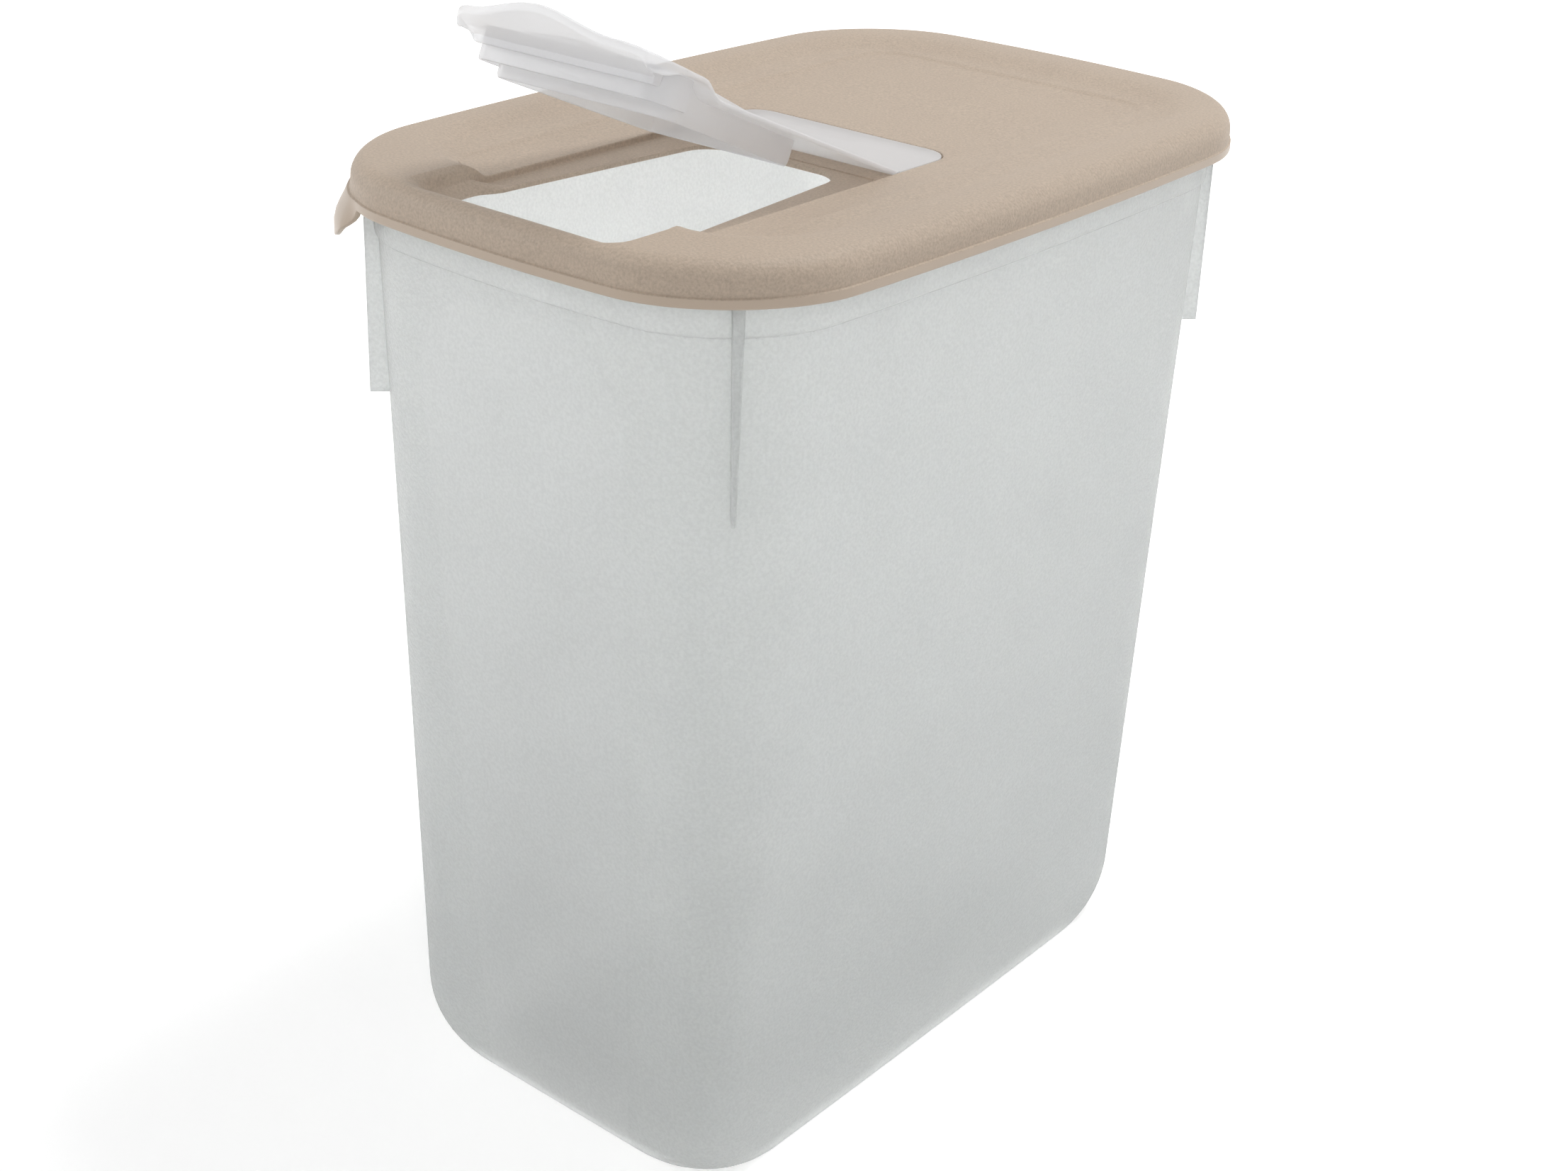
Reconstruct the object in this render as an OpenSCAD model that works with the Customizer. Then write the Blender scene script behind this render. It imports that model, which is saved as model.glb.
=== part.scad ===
// Rice bin with a flip lid: a tapered translucent tub, a lift-off lid with a pour hole,
// and a translucent pouring flap on a film hinge.
// The origin is the centre of the base on the floor. X is the short side, Y the long side,
// and the pouring end is at -Y.

/* [Tub] */
// Half width of the base, across X
base_half_w = 92.1; // [80:0.1:95]
// Half length of the base, along Y
base_half_l = 156.4; // [145:0.1:160]
// Half width of the tub wall at the bead line under the lid
neck_half_w = 113; // [111:0.1:114]
// Half length of the tub wall at the bead line under the lid
neck_half_l = 178.9; // [176:0.1:180]
// Height of the bead line, where the wall steps out to the collar
neck_z = 388; // [380:1:392]
// Height of the rim that the lid rests on
rim_z = 414.2; // [412:0.1:414.6]
// Thickness of the tub wall
tub_wall = 2.0; // [1.5:0.1:2.4]
// Thickness of the tub floor
floor_t = 2.2; // [1.8:0.1:3]
// Height of the large rounding round the base
base_round_h = 30; // [20:1:40]
// Depth of the shallow recess inside the foot ring
foot_recess = 1.5; // [0.8:0.1:2.5]
// Width of the foot ring that touches the floor
foot_ring_w = 22; // [15:1:30]

/* [Nesting fins] */
// Height of the lower end of each corner fin
fin_z = 316.8; // [300:0.1:340]
// How far a fin stands out of the wall at its lower end
fin_out_low = 8.3; // [5:0.1:9]
// How far a fin stands out of the wall at its upper end
fin_out_high = 5.2; // [4:0.1:6]

/* [Lid] */
// Half width of the lid at its lip
lip_half_w = 123.5; // [122.5:0.1:125]
// Half length of the lid at its lip
lip_half_l = 190; // [189:0.1:192]
// Corner radius of the lid at its lip
lip_r = 57.8; // [54:0.1:60]
// Height of the lower edge of the lip
lip_z = 401.4; // [400:0.1:403]
// Height of the smooth band along the lip
band_h = 3.7; // [3:0.1:5]
// Height of the rounded crest of the lid
crest_z = 418; // [417.5:0.1:420]
// Thickness of the lid
lid_t = 2.0; // [1.8:0.1:2.2]
// Height of the flat face that the flap lies flush with
deck_z = 411; // [410.8:0.1:411.2]

/* [Pour hole] */
// Half width of the recess that the flap closes into
recess_half_w = 54.6; // [54.5:0.1:55]
// Half width of the pour hole at its rear corners
hole_half_rear = 37; // [36.5:0.1:38]
// Half width of the pour hole where it meets the front pocket
hole_half_front = 45.5; // [45.5:0.1:46]
// Half width of the throat of the front pocket
throat_half_w = 50; // [49.8:0.1:50.4]
// Y of the front of the throat of the front pocket
throat_front_y = -167.5; // [-168:0.1:-167]
// Y of the brow over which rice is poured, at the top of the pocket's front slope
brow_y = -177; // [-177.5:0.1:-176.8]

/* [Flap] */
// Half width of the flap and of its fixed leaf
flap_half_w = 54; // [53:0.1:54]
// Y of the film hinge
hinge_y = -13; // [-13.5:0.1:-12.5]
// Thickness of the flap plate and of the leaf
flap_t = 2.0; // [1.6:0.1:2.0]
// Distance from the hinge to the start of the raised visor
visor_start = 120.5; // [119:0.5:121]
// Distance from the hinge to the front edge of the visor, at the middle
visor_end = 168.5; // [168:0.1:168.8]
// Height of the crown of the visor above the flap plate, at the middle
crown_h = 13.7; // [13:0.1:15]
// Opening angle of the flap, counted from closed
flap_open = 23.4; // [0:0.1:165]

/* [Hidden] */
$fn = 48;
fit_gap = 0.5;
side_steps = 3;
corner_steps = 12;

// A ring is [half width, half length, corner radius, side bow, end bow, centre y, z].
// The two bows are how far the middle of a side and of an end curve outwards.
function quarter(q) =
    let (ac = q[0] - q[3], bc = q[1] - q[4], r = q[2])
    [for (p = concat(
        [for (i = [0 : side_steps - 1]) [ac, (bc - r) * i / side_steps]],
        [for (i = [0 : corner_steps])
            let (t = 90 * i / corner_steps)
            [ac - r + r * cos(t), bc - r + r * sin(t)]],
        [for (i = [1 : side_steps]) [(ac - r) * (1 - i / side_steps), bc]]))
        [p[0] + q[3] * (1 - pow(p[1] / bc, 2)) * p[0] / ac,
         p[1] + q[4] * (1 - pow(p[0] / ac, 2)) * p[1] / bc]];

function ring_xy(q) =
    let (f = quarter(q), n = len(f))
    concat(
        f,
        [for (i = [n - 2 : -1 : 0]) [-f[i][0], f[i][1]]],
        [for (i = [1 : n - 1]) [-f[i][0], -f[i][1]]],
        [for (i = [n - 2 : -1 : 1]) [f[i][0], -f[i][1]]]);

function ring_points(q) = [for (p = ring_xy(q)) [p[0], p[1] + q[5], q[6]]];

// The same ring drawn in by d and put at height z
function inset(q, d, z) =
    [q[0] - d, q[1] - d, q[2] - d, q[3], q[4], q[5], z];

// Faces between the sections of a closed body, each section n points long
function band_faces(sections, n) =
    [for (i = [0 : sections - 2], j = [0 : n - 1])
        let (k = (j + 1) % n)
        each [[i * n + j, (i + 1) * n + j, (i + 1) * n + k],
              [i * n + j, (i + 1) * n + k, i * n + k]]];

// A closed body through sections that all have the same number of points.
// caps lists the triangles that fill the first section; the last one gets them reversed.
module skin(sections, caps) {
    n = len(sections[0]);
    last = (len(sections) - 1) * n;
    polyhedron(
        points = [for (s = sections) each s],
        faces = concat(
            caps,
            band_faces(len(sections), n),
            [for (t = caps) [last + t[2], last + t[1], last + t[0]]]));
}

// Triangles that fan out from point k of a rounded section of n points
function fan(n, k) = [for (j = [1 : n - 2]) [k, (k + j) % n, (k + j + 1) % n]];

// Triangles across a strip whose two sides hold m points each
function strip(m) =
    [for (j = [0 : m - 2])
        let (p = 2 * m - 1 - j)
        each [[j, j + 1, p - 1], [j, p - 1, p]]];

module loft(rings) {
    sections = [for (q = rings) ring_points(q)];
    skin(sections, fan(len(sections[0]), side_steps + corner_steps / 2));
}

// The tub wall's outer outline at height z, before the base rounding and the collar
base_r = 15.7;
neck_r = 47.6;
base_bow = [0.7, 0];
neck_bow = [5.6, 9.1];
function wall(z) =
    let (t = z / neck_z)
    [base_half_w + (neck_half_w - base_half_w) * t,
     base_half_l + (neck_half_l - base_half_l) * t,
     base_r + (neck_r - base_r) * t,
     base_bow[0] + (neck_bow[0] - base_bow[0]) * t,
     base_bow[1] + (neck_bow[1] - base_bow[1]) * t,
     0, z];

// The base rounding: the wall draws in and its corners grow rounder towards the floor
foot_draw = 2.5;
foot_r = 46.2;
round_steps = 5;
function base_ring(i, d, low) =
    let (t = 90 * i / round_steps,
         s = 1 - sin(t),
         z = base_round_h * (1 - cos(t)),
         q = wall(z))
    [q[0] - foot_draw * s - d, q[1] - foot_draw * s - d, q[2] + (foot_r - base_r) * s - d,
     q[3], q[4], 0, low + z * (base_round_h - low) / base_round_h];

collar = 1.5;
collar_wall = 2.2;
flange_z = 409.5;
flange_in = 3.0;
lip_bow = [6.4, 9.2];
lip_ring = [lip_half_w, lip_half_l, lip_r, lip_bow[0], lip_bow[1], 0, lip_z];

module tub_shell() {
    foot = base_ring(0, 0, 0);
    wall_rings = [base_round_h + 60, 180, 290, neck_z - 0.8];
    loft(concat(
        [inset(foot, foot_ring_w + 1, foot_recess), inset(foot, foot_ring_w, 0)],
        [for (i = [0 : round_steps]) base_ring(i, 0, 0)],
        [for (z = wall_rings) wall(z)],
        [inset(wall(neck_z), -collar, neck_z + 0.6)],
        [inset(wall(flange_z), -collar, flange_z)],
        [inset(lip_ring, flange_in + 0.4, flange_z + 0.9)],
        [inset(lip_ring, flange_in, flange_z + 1.5)],
        [inset(lip_ring, flange_in, rim_z - 0.8)],
        [inset(lip_ring, flange_in + 0.8, rim_z)],
        [inset(wall(rim_z), collar_wall - collar - 0.6, rim_z)],
        [inset(wall(rim_z), collar_wall - collar, rim_z - 0.6)],
        [inset(wall(neck_z), collar_wall - collar, neck_z)],
        [for (i = [len(wall_rings) - 1 : -1 : 0]) inset(wall(wall_rings[i]), tub_wall, wall_rings[i] - 1)],
        [for (i = [round_steps : -1 : 0]) base_ring(i, tub_wall, floor_t)],
        [inset(foot, foot_ring_w + 0.2, floor_t)],
        [inset(foot, foot_ring_w + 1.2, floor_t + foot_recess)]));
}

// One fin on a corner diagonal: a wedge that is thicker towards its upper end
fin_low_t = 1.6;
fin_high_t = 4.9;
function corner_point(q) =
    let (f = quarter(q))
    f[side_steps + corner_steps / 2];

module fin() {
    low = corner_point(wall(fin_z));
    high = corner_point(wall(flange_z + 0.5));
    bite = 1.2;
    heights = [fin_z, flange_z + 0.5];
    feet = [low, high];
    outs = [fin_out_low, fin_out_high];
    halves = [fin_low_t / 2, fin_high_t / 2];
    dir = [sqrt(0.5), sqrt(0.5)];
    skin([for (i = [0, 1])
        [for (c = [[-bite, -1], [outs[i], -1], [outs[i], 1], [-bite, 1]])
            let (p = feet[i] + dir * c[0] + [-dir[1], dir[0]] * c[1] * halves[i])
            [p[0], p[1], heights[i]]]], fan(4, 0));
}

module tub() {
    color([0.86, 0.88, 0.88, 0.6])
    union() {
        tub_shell();
        for (sx = [0, 1], sy = [0, 1]) mirror([sx, 0, 0]) mirror([0, sy, 0]) fin();
    }
}

// Rings of the lid's top face, from the crest inwards
crest_round = 8.2;
face_top = 409.8;
crest_in = [104, 158.5, 42, 5, 7, 8.5, crest_z];
slope_foot = [93, 148, 33, 4, 5, 5, 414.4];
panel_ridge = [77, 143.5, 17, 0.5, 0.5, 2.5, 414.1];
panel_foot = [74.6, 141.5, 14.6, 0.4, 0.4, 2, 413.1];
deck_edge = [57.6, 82.8, 8, 0, 0, -55.2, deck_z];
deck_under = [57, 82.2, 7.4, 0, 0, -55.2, deck_z - lid_t];
plug_z = 402;
plug_t = 1.6;
plug_in = collar_wall - collar + fit_gap;
lip_t = 2.2;

module lid_shell() {
    roof = rim_z + 0.4;
    loft(concat(
        [deck_under,
         inset(panel_foot, 1.2, panel_foot[6] - lid_t),
         inset(panel_ridge, 0.6, panel_ridge[6] - lid_t),
         inset(slope_foot, -0.4, slope_foot[6] - lid_t),
         inset(crest_in, -0.6, roof + 1.2),
         inset(wall(rim_z), plug_in + plug_t, roof + 0.8),
         inset(wall(plug_z), plug_in + plug_t + 0.2, plug_z),
         inset(wall(plug_z), plug_in + 0.4, plug_z),
         inset(wall(plug_z + 1.5), plug_in, plug_z + 1.5),
         inset(wall(rim_z), plug_in, roof),
         inset(lip_ring, lip_t + 1.2, roof),
         inset(lip_ring, lip_t + 0.3, roof - 1.4),
         inset(lip_ring, lip_t, lip_z + 0.4),
         inset(lip_ring, lip_t - 0.4, lip_z),
         inset(lip_ring, 0.3, lip_z),
         inset(lip_ring, 0, lip_z + 0.5),
         inset(lip_ring, 0.15, lip_z + band_h),
         inset(lip_ring, 0.7, lip_z + band_h + 0.3)],
        [for (i = [0 : 5])
            let (t = 18 * i)
            inset(lip_ring, 0.9 + (crest_round - 0.2) * (1 - cos(t)),
                  face_top + (crest_z - face_top) * sin(t))],
        [crest_in, slope_foot, panel_ridge, panel_foot, deck_edge]));
}

// Plan shapes of the lid's recess, front pocket and pour hole
module rounded_box(x, y0, y1, r) {
    for (sx = [-1, 1], y = [y0 + r, y1 - r]) translate([sx * (x - r), y]) circle(r);
    translate([-x, y0 + r]) square([2 * x, y1 - y0 - 2 * r]);
    translate([r - x, y0]) square([2 * (x - r), y1 - y0]);
}

recess_front_y = -141.5;
recess_rear_y = 24.6;
ledge_z = 408;
leaf_floor_z = 408.6;
leaf_floor_front_y = -22;
hole_rear_y = -26;
hole_r = 14;
hole_turn_y = -131;
pan_wall = 2.2;
pan_z = 406;
stud_r = 3.0;
stud_x = 32;
stud_y = 8;

function arc(c, r, a0, a1, n) =
    [for (i = [0 : n]) let (t = a0 + (a1 - a0) * i / n) [c[0] + r * cos(t), c[1] + r * sin(t)]];

module hole_plan() {
    right = concat(
        arc([hole_half_rear - hole_r, hole_rear_y - hole_r], hole_r, 90, 5, 6),
        [[hole_half_front, hole_turn_y], [hole_half_front, recess_front_y - 1]]);
    n = len(right);
    polygon(concat(right, [for (i = [n - 1 : -1 : 0]) [-right[i][0], right[i][1]]]));
}

// The recess is square at its front end, where it opens into the pocket
module recess_plan(rear_y) {
    rounded_box(recess_half_w, recess_front_y, rear_y, 3);
    translate([-recess_half_w, recess_front_y]) square([2 * recess_half_w, 4]);
}

// The front pocket: a throat with a slope round it that rises to the brow.
// A pocket ring is [half width, front y, corner radius, z]; d makes it larger all round.
throat_z = 407.5;
seat_z = 411.2;
brow_z = 416;
pocket_rings = [
    [throat_half_w, throat_front_y, 16, throat_z],
    [recess_half_w, -173.6, 12, seat_z],
    [recess_half_w, brow_y, 9, brow_z],
    [recess_half_w + 1.9, brow_y - 5, 10, crest_z + 0.2]];
function pocket_ring(q, d, z) =
    let (w = q[0] + d, front = q[1] - d, r = q[2] + d,
         right = concat([[w, recess_front_y + 1]], arc([w - r, front + r], r, 0, -90, 6)),
         n = len(right),
         ring = concat(right, [for (i = [n - 1 : -1 : 0]) [-right[i][0], right[i][1]]]))
    [for (i = [2 * n - 1 : -1 : 0]) [ring[i][0], ring[i][1], z]];

module pocket(d, bottom, top) {
    last = pocket_rings[3];
    sections = concat(
        [pocket_ring(pocket_rings[0], d, bottom)],
        [for (q = pocket_rings) if (q[3] < top) pocket_ring(q, d, q[3])],
        [pocket_ring(top > crest_z ? last : pocket_rings[2], d, top)]);
    skin(sections, fan(len(sections[0]), 0));
}

module lid() {
    color([0.78, 0.71, 0.64])
    difference() {
        union() {
            lid_shell();
            translate([0, 0, pan_z]) linear_extrude(deck_z - pan_z - 0.6)
                rounded_box(recess_half_w + pan_wall, recess_front_y - 1, recess_rear_y + pan_wall, 8);
            pocket(pan_wall, pan_z, brow_z + 1);
            lift_tab();
        }
        translate([0, 0, leaf_floor_z]) linear_extrude(30) recess_plan(recess_rear_y);
        translate([0, 0, ledge_z]) linear_extrude(30) recess_plan(leaf_floor_front_y);
        translate([0, 0, pan_z - 5]) linear_extrude(40) hole_plan();
        pocket(0, pan_z - 5, crest_z + 10);
        for (s = [-1, 1]) translate([s * stud_x, stud_y, pan_z - 1]) cylinder(r = stud_r, h = 5);
    }
}

// The lift tab: a tongue that flares out of the lip at the left front corner
tab_half_angle = 27;
tab_drop = 16.5;
tab_flare = 6.3;
tab_root_z = 403.4;
tab_t = 1.8;
tab_cols = 12;
tab_rows = 8;
function smooth(u) = let (v = max(0, min(1, u))) v * v * (3 - 2 * v);

// The point of the lip's outline at angle t round a corner
function lip_corner(t) =
    let (ac = lip_half_w - lip_bow[0], bc = lip_half_l - lip_bow[1],
         x = ac - lip_r + lip_r * cos(t), y = bc - lip_r + lip_r * sin(t))
    [x + lip_bow[0] * (1 - pow(y / bc, 2)) * x / ac, y + lip_bow[1] * (1 - pow(x / ac, 2)) * y / bc];

function tab_point(i, j, depth) =
    let (a = 2 * i / tab_cols - 1,
         drop = 2.4 + tab_drop * pow(1 - a * a, 0.8),
         z = tab_root_z - drop * j / tab_rows,
         out = tab_flare * (1 - 0.5 * a * a) * smooth((tab_root_z - z) / 12) - 0.3 - depth,
         t = 45 + tab_half_angle * a,
         p = lip_corner(t))
    [-p[0] - out * cos(t), -p[1] - out * sin(t), z];
module lift_tab() {
    skin([for (i = [0 : tab_cols]) concat(
        [for (j = [0 : tab_rows]) tab_point(i, j, 0)],
        [for (j = [tab_rows : -1 : 0]) tab_point(i, j, tab_t)])], strip(tab_rows + 1));
}

leaf_front_gap = 0.5;
leaf_rear_gap = 0.6;
leaf_r = 12;
module hinge_leaf() {
    y0 = hinge_y + leaf_front_gap;
    y1 = recess_rear_y - leaf_rear_gap;
    color([0.86, 0.86, 0.9, 0.7])
    union() {
        translate([0, 0, deck_z - flap_t]) linear_extrude(flap_t) union() {
            translate([-flap_half_w, y0]) square([2 * flap_half_w, y1 - leaf_r - y0]);
            translate([leaf_r - flap_half_w, y1 - leaf_r - 1])
                square([2 * (flap_half_w - leaf_r), leaf_r + 1]);
            for (s = [-1, 1]) translate([s * (flap_half_w - leaf_r), y1 - leaf_r]) circle(leaf_r);
        }
        for (s = [-1, 1]) translate([s * stud_x, stud_y, pan_z + 0.3])
            cylinder(r = stud_r - 0.05, h = deck_z - pan_z - 1);
    }
}

// The flap is drawn closed, with the hinge line on the X axis and s = -y forwards
visor_base_h = 5.4;
visor_shoulder_h = 8.4;
visor_bow = 0.0035;
visor_corner_x = 38;
visor_corner_r = 22;
lip_face = 3.2;
sheet_t = 2;

// Distance from the hinge to the front edge: a shallow arc, then a round corner
function front_arc(x) = visor_end - visor_bow * x * x;
function round_depth(x) =
    sqrt(max(0, pow(visor_corner_r, 2) - pow(x - flap_half_w + visor_corner_r, 2)));
function front_s(x) =
    abs(x) < visor_corner_x
        ? front_arc(x)
        : front_arc(visor_corner_x) - round_depth(visor_corner_x) + round_depth(abs(x));

// Height of the front edge: a crown in the middle, lower at the corners
function front_h(x) =
    visor_shoulder_h + (crown_h - visor_shoulder_h) * pow(cos(90 * min(1, abs(x) / 36)), 2)
    - 2.4 * pow(max(0, abs(x) - visor_corner_x) / 16, 2);

function mix(a, b, w) = a + (b - a) * w;

// The step block under the visor: its front face, drawn back at its corners
block_front = 150.5;
block_flat_w = 39;
block_r = 10;
block_bottom = -2.8;
function block_s(x) =
    block_front - block_r + sqrt(pow(block_r, 2) - pow(min(block_r, max(0, abs(x) - block_flat_w)), 2));

function visor_section(x) =
    let (b = visor_base_h,
         v = visor_start,
         s1 = v + 9,
         f = front_s(x),
         run = f - s1,
         top_h = front_h(x),
         c = top_h - b,
         g = block_s(x),
         w = smooth((abs(x) - 45) / 3.5),
         foot = 0.6 + 3 * smooth((153 - f) / 8),
         rise = top_h - 0.7 - foot,
         top = [[v - 6, 0], [v, 0], [v + 5, 2.9], [v + 8.5, b],
                [s1 + 0.35 * run, b + 0.3 * c], [s1 + 0.68 * run, b + 0.66 * c],
                [f - 1.4, top_h], [f, top_h - 0.7]],
         middle = [[s1 + 10, b + 0.3 * c - sheet_t], [g - 4.3, b + 0.42 * c - sheet_t],
                   [g - 3.9, block_bottom], [g, block_bottom], [g + 0.4, -0.2], [g + 3, 0.4],
                   [f - 2.4, top_h - lip_face - 1], [f - 0.5, top_h - lip_face]],
         side = [[s1 + 0.35 * run, b - 1.9], [s1 + 0.58 * run, b - 1.9],
                 [s1 + 0.68 * run, b - 1.95], [s1 + 0.78 * run, mix(b - 2, foot, 0.3)],
                 [s1 + 0.87 * run, mix(b - 2, foot, 0.7)], [s1 + 0.95 * run, foot],
                 [f - 0.25, foot + 0.3 * rise], [f - 0.1, foot + 0.7 * rise]],
         low = concat([[v - 6, -flap_t], [v - 1, -flap_t], [v + 4, 0.6], [s1, b - sheet_t]],
                      [for (i = [0 : 7]) mix(middle[i], side[i], w)]),
         n = len(low))
    [for (p = concat(top, [for (i = [n - 1 : -1 : 0]) low[i]])) [x, -p[0], p[1]]];

// The section's fill: top points are 0 to 7, underside points run back from 8 to 19
visor_caps = [
    [0, 1, 18], [0, 18, 19], [1, 2, 17], [1, 17, 18], [2, 3, 16], [2, 16, 17],
    [3, 4, 15], [3, 15, 16], [4, 5, 14], [4, 14, 15], [5, 13, 14], [5, 12, 13],
    [5, 11, 12], [5, 10, 11], [5, 9, 10], [5, 6, 9], [6, 7, 8], [6, 8, 9]];

module visor() {
    right = [6, 12, 18, 24, 30, 36, 41, 44.5, 46.5, 48, 50, 51.6, 52.8, 53.6, flap_half_w];
    n = len(right);
    xs = concat([for (i = [n - 1 : -1 : 0]) -right[i]], [0], right);
    skin([for (x = xs) visor_section(x)], visor_caps);
}

// Walls that hang under the flap and plug the pour hole: a deep skirt and, in front of it,
// a shallower wall under the visor
skirt_rear = 48;
skirt_front = 136;
skirt_half_rear = 36.5;
skirt_half_front = 45;
skirt_deep = 12.5;
skirt_corner = 6;
shelf_rear = 130;
shelf_front = 146.9;
shelf_half_w = 48;
shelf_deep = 8.3;
shelf_corner = 10;
wall_t = 1.8;
under_sheet_h = 4.2;

// Plan of a plug wall: x0 and x1 are its half widths at the rear and at the front
module plug_plan(x0, x1, rear, front, r) {
    right = concat([[x0, -rear]], arc([x1 - r, r - front], r, 0, -90, 6));
    n = len(right);
    polygon(concat(right, [for (i = [n - 1 : -1 : 0]) [-right[i][0], right[i][1]]]));
}

module skirt(top) {
    translate([0, 0, -skirt_deep]) linear_extrude(skirt_deep + top) difference() {
        plug_plan(skirt_half_rear, skirt_half_front, skirt_rear, skirt_front, skirt_corner);
        plug_plan(skirt_half_rear - wall_t, skirt_half_front - wall_t, skirt_rear + wall_t,
                  skirt_front - wall_t, skirt_corner - wall_t);
    }
}

module shelf() {
    translate([0, 0, -shelf_deep]) linear_extrude(shelf_deep + under_sheet_h) difference() {
        plug_plan(shelf_half_w, shelf_half_w, shelf_rear, shelf_front, shelf_corner);
        plug_plan(shelf_half_w - wall_t, shelf_half_w - wall_t, shelf_rear - 1,
                  shelf_front - wall_t, shelf_corner - wall_t);
    }
}

module flap() {
    color([0.84, 0.85, 0.9, 0.7])
    translate([0, hinge_y, deck_z]) rotate([-flap_open, 0, 0])
    union() {
        translate([-flap_half_w, 3 - visor_start, -flap_t])
            cube([2 * flap_half_w, visor_start - 3 - leaf_front_gap, flap_t]);
        visor();
        skirt(-1);
        intersection() {
            skirt(under_sheet_h);
            translate([-flap_half_w, -skirt_front - 1, -skirt_deep - 1])
                cube([2 * flap_half_w, skirt_front - visor_start - 6.5, skirt_deep + 10]);
        }
        shelf();
    }
}

tub();
lid();
hinge_leaf();
flap();
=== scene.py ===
# %% [markdown]
# # A rice bin with a flip lid
# The real bin is three injection mouldings in polypropylene: a tall frosted tub, an opaque
# beige lid that clips over its rim, and a milky pouring flap that bends on a film hinge.
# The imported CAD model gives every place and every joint. This lesson lays finer skins over
# its solids, with rounded edges and the finishes that the moulds leave on the plastic.

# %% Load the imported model
import bpy
import bmesh
import math
import numpy as np
from mathutils import Matrix, Vector


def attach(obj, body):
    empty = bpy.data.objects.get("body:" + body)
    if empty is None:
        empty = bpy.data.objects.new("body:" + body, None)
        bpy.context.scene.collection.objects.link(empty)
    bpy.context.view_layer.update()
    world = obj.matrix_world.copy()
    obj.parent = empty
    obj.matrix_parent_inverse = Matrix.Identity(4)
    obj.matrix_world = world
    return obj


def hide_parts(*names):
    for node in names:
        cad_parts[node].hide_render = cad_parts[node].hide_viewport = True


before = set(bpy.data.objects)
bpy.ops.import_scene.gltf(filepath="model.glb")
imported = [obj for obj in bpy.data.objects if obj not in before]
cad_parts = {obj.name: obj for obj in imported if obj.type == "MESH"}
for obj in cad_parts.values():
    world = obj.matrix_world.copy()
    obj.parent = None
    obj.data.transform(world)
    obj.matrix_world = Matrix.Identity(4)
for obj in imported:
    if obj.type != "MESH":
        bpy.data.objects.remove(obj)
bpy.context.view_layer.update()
scene = bpy.context.scene
MM = 0.001
print("nodes:", sorted(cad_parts))

# %% [markdown]
# ## The camera
# A camera could be placed by eye, but then proportions can't be compared. This one comes
# from a fit of the tub's base, bead line and lid outline, so it has a slight roll and a
# small shift, as a cropped product photograph has.

# %% Place the camera
IMAGE_W, IMAGE_H = 2213, 1652
AZIMUTH, ELEVATION, ROLL = (math.radians(v) for v in (38.98788774, 25.66883785, 2.06113349))
FOCAL_PX, CENTRE_X, CENTRE_Y = 3303.8173, 1097.2166, 823.5752
CAMERA_PLACE_MM = Vector((598.38466, -753.54329, 667.22217))
SENSOR_MM, FAR_CLIP_M = 36, 50

back = Vector((math.sin(AZIMUTH) * math.cos(ELEVATION),
               -math.cos(AZIMUTH) * math.cos(ELEVATION), math.sin(ELEVATION)))
level_right = (-back).cross(Vector((0, 0, 1))).normalized()
level_up = level_right.cross(-back)
camera_x = math.cos(ROLL) * level_right + math.sin(ROLL) * level_up
camera_y = -math.sin(ROLL) * level_right + math.cos(ROLL) * level_up

camera = bpy.data.objects.new("camera", bpy.data.cameras.new("camera"))
scene.collection.objects.link(camera)
placed = Matrix((camera_x, camera_y, back)).transposed().to_4x4()
placed.translation = CAMERA_PLACE_MM * MM
camera.matrix_world = placed
camera.data.sensor_width = SENSOR_MM
camera.data.lens = FOCAL_PX / IMAGE_W * SENSOR_MM
camera.data.shift_x = (IMAGE_W / 2 - CENTRE_X) / IMAGE_W
camera.data.shift_y = (CENTRE_Y - IMAGE_H / 2) / IMAGE_W
camera.data.clip_end = FAR_CLIP_M
scene.camera = camera
print("focal length in mm:", round(camera.data.lens, 1))

# %% [markdown]
# ## Making nodes
# Every material here is a small tree of nodes. One function adds a node, sets its
# properties, and fills its inputs with a number or with another node's output. A second
# one turns the usual hex colours, which are sRGB, into the linear values that Blender mixes.

# %% Node and colour helpers
def add_node(tree, kind, settings, inputs):
    """Add a node with its settings, and feed each input from a value or a socket."""
    node = tree.nodes.new(kind)
    for name, value in settings.items():
        setattr(node, name, value)
    for key, value in inputs.items():
        if isinstance(value, bpy.types.NodeSocket):
            tree.links.new(value, node.inputs[key])
        else:
            node.inputs[key].default_value = value
    return node


def linear(text):
    """Turn an sRGB hex colour into linear red, green, blue and an alpha of 1."""
    parts = [int(text[i:i + 2], 16) / 255 for i in (1, 3, 5)]
    return [c / 12.92 if c <= 0.04045 else ((c + 0.055) / 1.055) ** 2.4 for c in parts] + [1]


print("mid grey #BCBCBC in linear values:", [round(v, 3) for v in linear("#BCBCBC")])

# %% [markdown]
# ## The studio
# The photograph is a cut-out on pure white, lit from all round, with a little more light
# from above and from both sides than from the camera. An even world does most of that work,
# and four soft boxes give the forms their slight shading. The world and the floor look
# white to the camera, to reflections and to what is seen through the plastic. Close to the
# bin the floor glows less, so that its shadow stays.

# %% World, floor and lamps
scene.view_settings.view_transform = "Standard"
world = bpy.data.worlds.new("white_studio")
world.use_nodes = True
scene.world = world
world.node_tree.nodes.clear()
WORLD_LEVEL = 0.36  # how much the world lights the bin; what is seen of it is 1, white


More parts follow.
